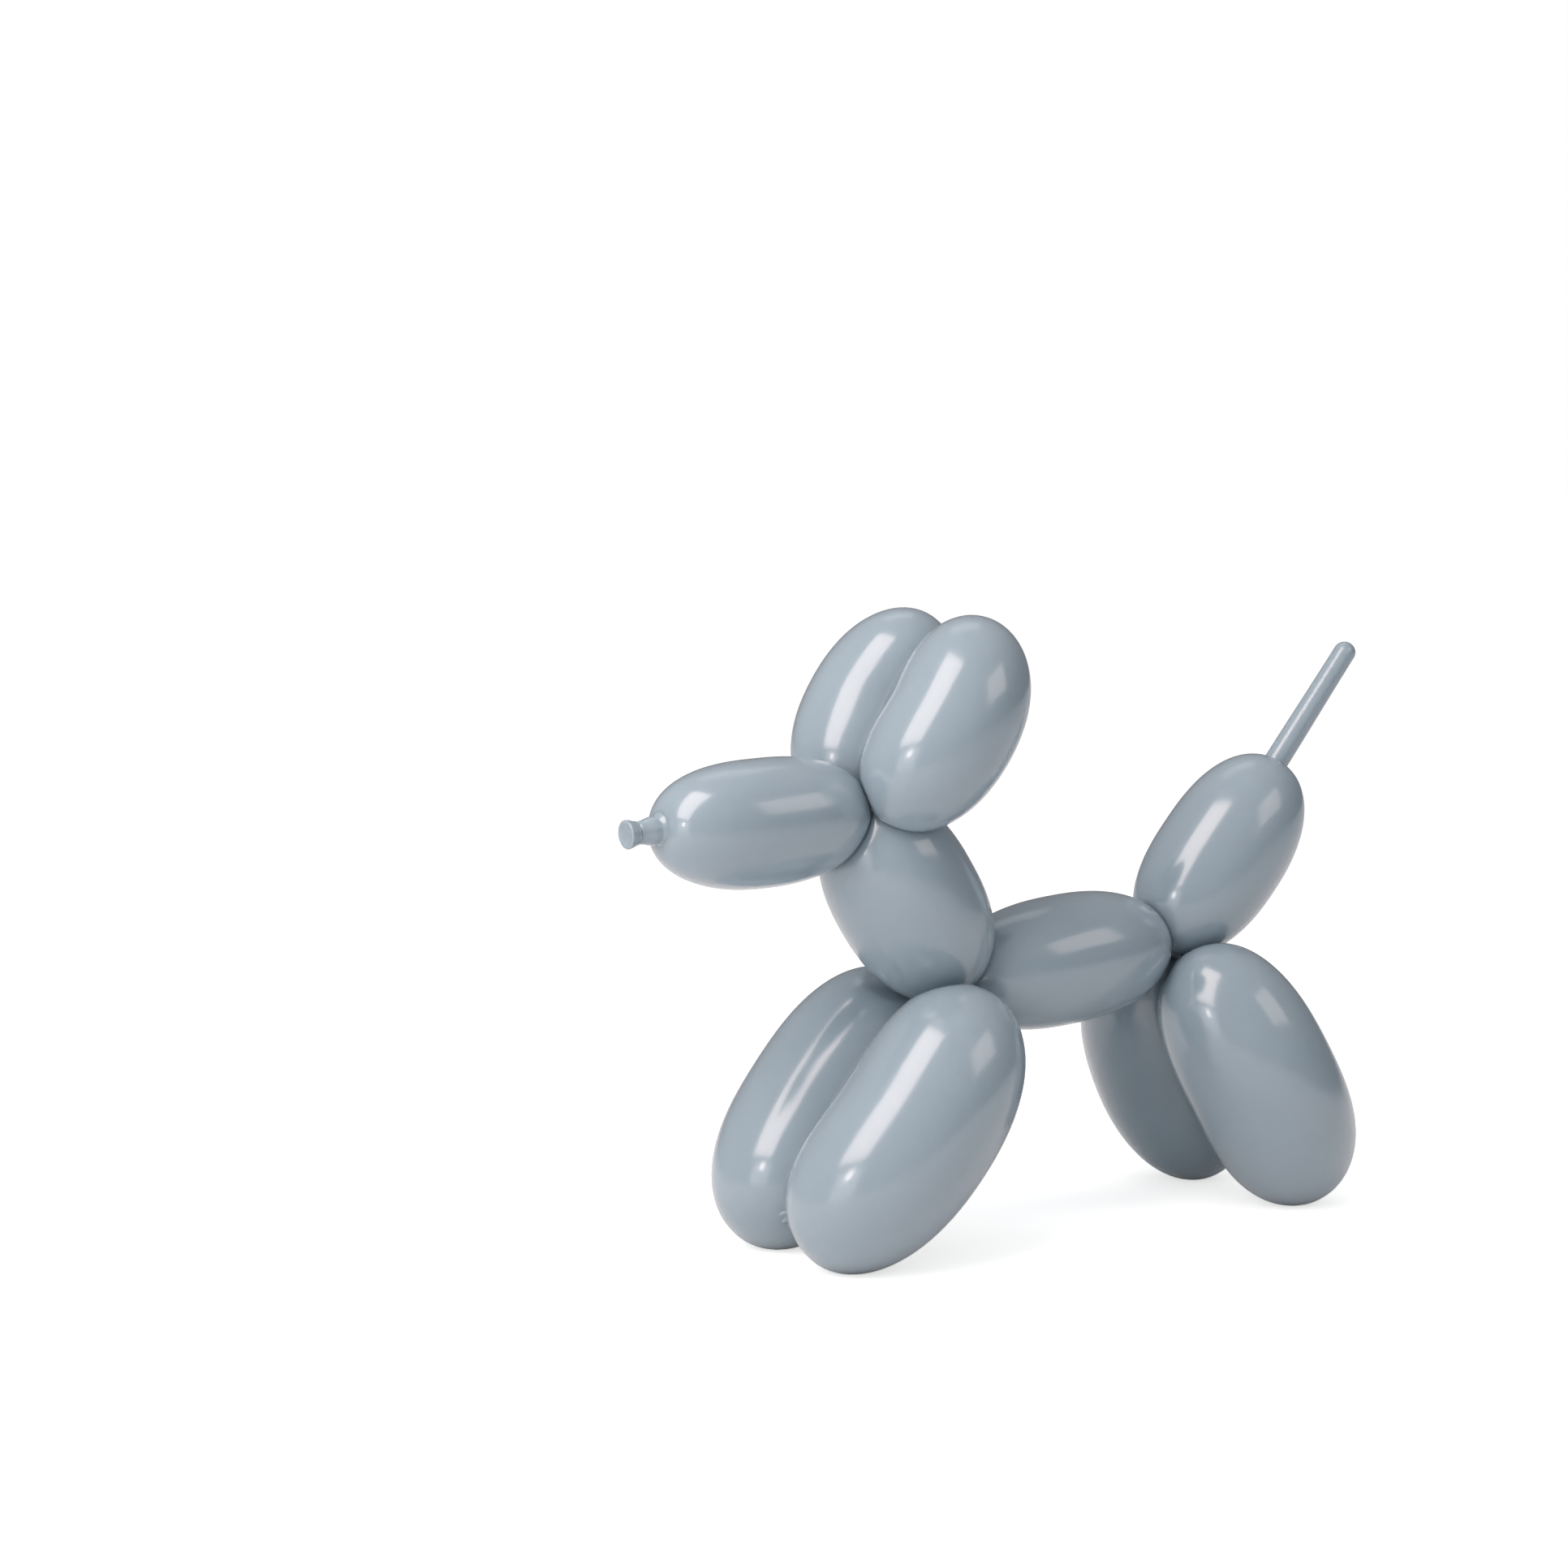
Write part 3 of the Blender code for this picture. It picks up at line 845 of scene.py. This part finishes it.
def latex(name, groups, finish):
    """A latex skin: clouded colour, darker where it is gathered, faint powder and a fine grain."""
    material = bpy.data.materials.new(name)
    material.use_nodes = True
    tree = material.node_tree
    shader = tree.nodes["Principled BSDF"]
    effects = {}
    for label, group in groups.items():
        placed = add_node(tree, "ShaderNodeGroup", node_tree=group)
        placed.inputs["Amount"].default_value = finish[label]
        effects[label] = placed.outputs[0]

    thick = ranged(tree, math_of(tree, "ADD", effects["clouding"], effects["gathering"]))
    tone = colour_mix(tree, thick, BLOWN_TONE, DEEP_TONE)
    tone = colour_mix(tree, effects["powder"], tone, POWDER_TONE)
    tree.links.new(tone, shader.inputs["Base Color"])

    dullness = (finish["roughness"], finish["roughness"] + THICK_DULLING)
    dull = math_of(tree, "MULTIPLY", effects["powder"], POWDER_DULLING)
    dull = math_of(tree, "ADD", dull, ranged(tree, thick, target=dullness))
    tree.links.new(dull, shader.inputs["Roughness"])

    raised = add_node(tree, "ShaderNodeBump")
    raised.inputs["Strength"].default_value = finish["grain"]
    raised.inputs["Distance"].default_value = GRAIN_HEIGHT
    tree.links.new(noise(tree, *SKIN_GRAIN), raised.inputs["Height"])
    tree.links.new(raised.outputs["Normal"], shader.inputs["Normal"])

    for label, value in LATEX_GLOSS.items():
        shader.inputs[label].default_value = value
    shader.inputs["Subsurface Scale"].default_value = finish["glow_depth"]
    return material


def centre_lengthwise(pieces):
    """Move the dog so that its length is centred, and give how far it moved."""
    reaches = [vertex.co.y for piece in pieces for vertex in piece.data.vertices]
    move = -(min(reaches) + max(reaches)) / 2.0
    for piece in pieces:
        for vertex in piece.data.vertices:
            vertex.co.y += move
    return move


def dress_dog():
    """Lay the bubbles out as the solid has them, press them together and give them their skin.

    It gives the place of the chest twist, from which the camera and the lamps are set.
    """
    twists = twist_places()
    bubbles = lay_out_bubbles(twists)
    ties = [tie_ends(bubbles, pair_name, place) for pair_name, place in PAIR_TIES]
    gathers = gather_places(bubbles, twists, ties)

    groups = {"clouding": clouding_group(), "gathering": gathering_group(), "powder": powder_group()}
    blown = latex("blown_latex", groups, BLOWN_FINISH)
    slack = latex("slack_latex", groups, SLACK_FINISH)
    bubble_skins = [bubble_skin(name, bubbles, twists) for name in bubbles]
    tie_skins = [tie_skin(start, end) for start, end in ties]
    pieces = [
        add_piece("balloon_skin", bubble_skins, gathers, blown),
        add_piece("pair_ties", tie_skins, gathers, slack),
        add_piece("nozzle", [nozzle_skin(bubbles["muzzle"])], gathers, slack),
        add_piece("tail_tip", [tail_tip_skin(bubbles["tail"])], gathers, slack),
    ]
    move = centre_lengthwise(pieces)
    for piece in pieces:
        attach(piece, "root")
    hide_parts("twisted_balloon")
    return Vector(twists["chest"]) + Vector((0.0, move, 0.0))


def pale_board():
    """The floor's finish: pale matt board, lifted to white in the picture and in the skin's gloss."""
    material = bpy.data.materials.new("pale_board")
    material.use_nodes = True
    tree = material.node_tree
    board = tree.nodes["Principled BSDF"]
    board.inputs["Base Color"].default_value = BOARD_TONE
    board.inputs["Roughness"].default_value = BOARD_ROUGHNESS
    board.inputs["Specular IOR Level"].default_value = BOARD_SHEEN
    lift = add_node(tree, "ShaderNodeEmission")
    lift.inputs["Color"].default_value = BOARD_LIFT
    path = add_node(tree, "ShaderNodeLightPath")
    mirrored = math_of(tree, "MULTIPLY", path.outputs["Is Glossy Ray"], BOARD_GLOSS)
    strength = math_of(tree, "MAXIMUM", path.outputs["Is Camera Ray"], mirrored)
    tree.links.new(strength, lift.inputs["Strength"])
    both = add_node(tree, "ShaderNodeAddShader")
    tree.links.new(board.outputs["BSDF"], both.inputs[0])
    tree.links.new(lift.outputs["Emission"], both.inputs[1])
    tree.links.new(both.outputs["Shader"], tree.nodes["Material Output"].inputs["Surface"])
    return material


def add_floor():
    """A wide plain floor under the dog."""
    near, far = -FLOOR_HALF, FLOOR_HALF
    corners = [(near, near, 0.0), (far, near, 0.0), (far, far, 0.0), (near, far, 0.0)]
    mesh = bpy.data.meshes.new("floor")
    mesh.from_pydata(corners, [], [(0, 1, 2, 3)])
    mesh.materials.append(pale_board())
    floor = bpy.data.objects.new("floor", mesh)
    bpy.context.scene.collection.objects.link(floor)
    return floor


def add_camera(chest):
    """The camera, aimed so that the chest twist falls on its pixel."""
    bearing = math.radians(CAMERA_BEARING)
    back = outward(CAMERA_BEARING, CAMERA_HEIGHT)
    right = Vector((math.cos(bearing), math.sin(bearing), 0.0))
    up = back.cross(right)
    pixel = CAMERA_DISTANCE * SENSOR_WIDTH / CAMERA_LENS / PICTURE_WIDTH
    centre = PICTURE_WIDTH / 2.0
    aim = chest + right * (centre - CHEST_PIXEL[0]) * pixel + up * (CHEST_PIXEL[1] - centre) * pixel
    data = bpy.data.cameras.new("camera")
    data.lens = CAMERA_LENS
    data.sensor_width = SENSOR_WIDTH
    camera = bpy.data.objects.new("camera", data)
    camera.location = chest + back * CAMERA_DISTANCE
    level = (camera.location - aim).to_track_quat("Z", "Y")
    camera.rotation_euler = (level @ Quaternion((0.0, 0.0, 1.0), math.radians(CAMERA_ROLL))).to_euler()
    bpy.context.scene.collection.objects.link(camera)
    bpy.context.scene.camera = camera


def wall_light(tree, direction, bearing, height, tone):
    """The light of one soft wall, brightest straight towards it and nil from a right angle on."""
    facing = add_node(tree, "ShaderNodeVectorMath", operation="DOT_PRODUCT")
    tree.links.new(direction, facing.inputs[0])
    facing.inputs[1].default_value = outward(bearing, height)
    share = math_of(tree, "MAXIMUM", facing.outputs["Value"], 0.0)
    share = math_of(tree, "MULTIPLY", share, share)
    wall = add_node(tree, "ShaderNodeVectorMath", operation="SCALE")
    wall.inputs[0].default_value = tone
    tree.links.new(share, wall.inputs["Scale"])
    return wall.outputs["Vector"]


def light_surroundings():
    """White behind the dog for the camera, and a pale room of soft walls for its light."""
    world = bpy.data.worlds.new("pale_room")
    bpy.context.scene.world = world
    world.use_nodes = True
    tree = world.node_tree
    tree.nodes.clear()
    direction = add_node(tree, "ShaderNodeTexCoord").outputs["Generated"]
    walls = [wall_light(tree, direction, *wall) for wall in ROOM_WALLS]
    total = walls[0]
    for wall in walls[1:]:
        both = add_node(tree, "ShaderNodeVectorMath", operation="ADD")
        tree.links.new(total, both.inputs[0])
        tree.links.new(wall, both.inputs[1])
        total = both.outputs["Vector"]
    room = add_node(tree, "ShaderNodeBackground")
    tree.links.new(total, room.inputs["Color"])
    backdrop = add_node(tree, "ShaderNodeBackground")
    backdrop.inputs["Color"].default_value = BACKDROP_TONE
    path = add_node(tree, "ShaderNodeLightPath")
    chosen = add_node(tree, "ShaderNodeMixShader")
    output = add_node(tree, "ShaderNodeOutputWorld")
    tree.links.new(path.outputs["Is Camera Ray"], chosen.inputs["Fac"])
    tree.links.new(room.outputs["Background"], chosen.inputs[1])
    tree.links.new(backdrop.outputs["Background"], chosen.inputs[2])
    tree.links.new(chosen.outputs["Shader"], output.inputs["Surface"])


def add_lamp(target, name, bearing, height, distance, wide, tall, radiance, colour):
    """A soft box seen from the dog at a bearing and a height, facing it."""
    away = outward(bearing, height)
    light = bpy.data.lights.new(name, "AREA")
    light.shape = "RECTANGLE"
    light.size, light.size_y = wide, tall
    light.energy = radiance * math.pi * wide * tall
    light.color = colour
    lamp = bpy.data.objects.new(name, light)
    lamp.location = target + away * distance
    lamp.rotation_euler = away.to_track_quat("Z", "Y").to_euler()
    bpy.context.scene.collection.objects.link(lamp)


def light_studio(target):
    """A tall panel, a small lamp and a low fill ahead, a warm fill at the side, a dim one behind."""
    for lamp in LAMPS:
        add_lamp(target, *lamp)


bpy.context.scene.view_settings.view_transform = "Standard"
chest_twist = dress_dog()
add_floor()
add_camera(chest_twist)
light_surroundings()
light_studio(chest_twist + Vector(LAMP_AIM))
